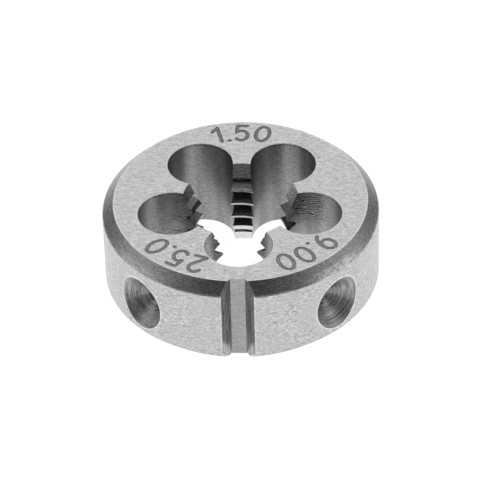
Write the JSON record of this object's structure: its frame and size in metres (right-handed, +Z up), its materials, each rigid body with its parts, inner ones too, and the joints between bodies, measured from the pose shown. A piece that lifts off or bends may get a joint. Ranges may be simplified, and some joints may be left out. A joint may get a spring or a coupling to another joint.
{
  "type": "threading die",
  "caption": "Round hardened-steel die that cuts an outside screw thread, with teeth on lands between chip holes and a slot in its rim.",
  "frame": {"origin": "centre of the lower face, on the axis of the thread, where the die rests", "axes": "+Z up along the thread's axis, out of the face that shows in the picture; -Y from the axis to the slot in the rim; +X to the right of the slot as seen from the slot's side"},
  "size_m": [0.025, 0.0249, 0.009],
  "materials": {
    "ground_steel": "hardened steel, ground on both faces and the rim, with turned chamfers and drilled chip holes"
  },
  "bodies": {
    "root": {"die_body": "ground_steel"}
  },
  "joints": []
}
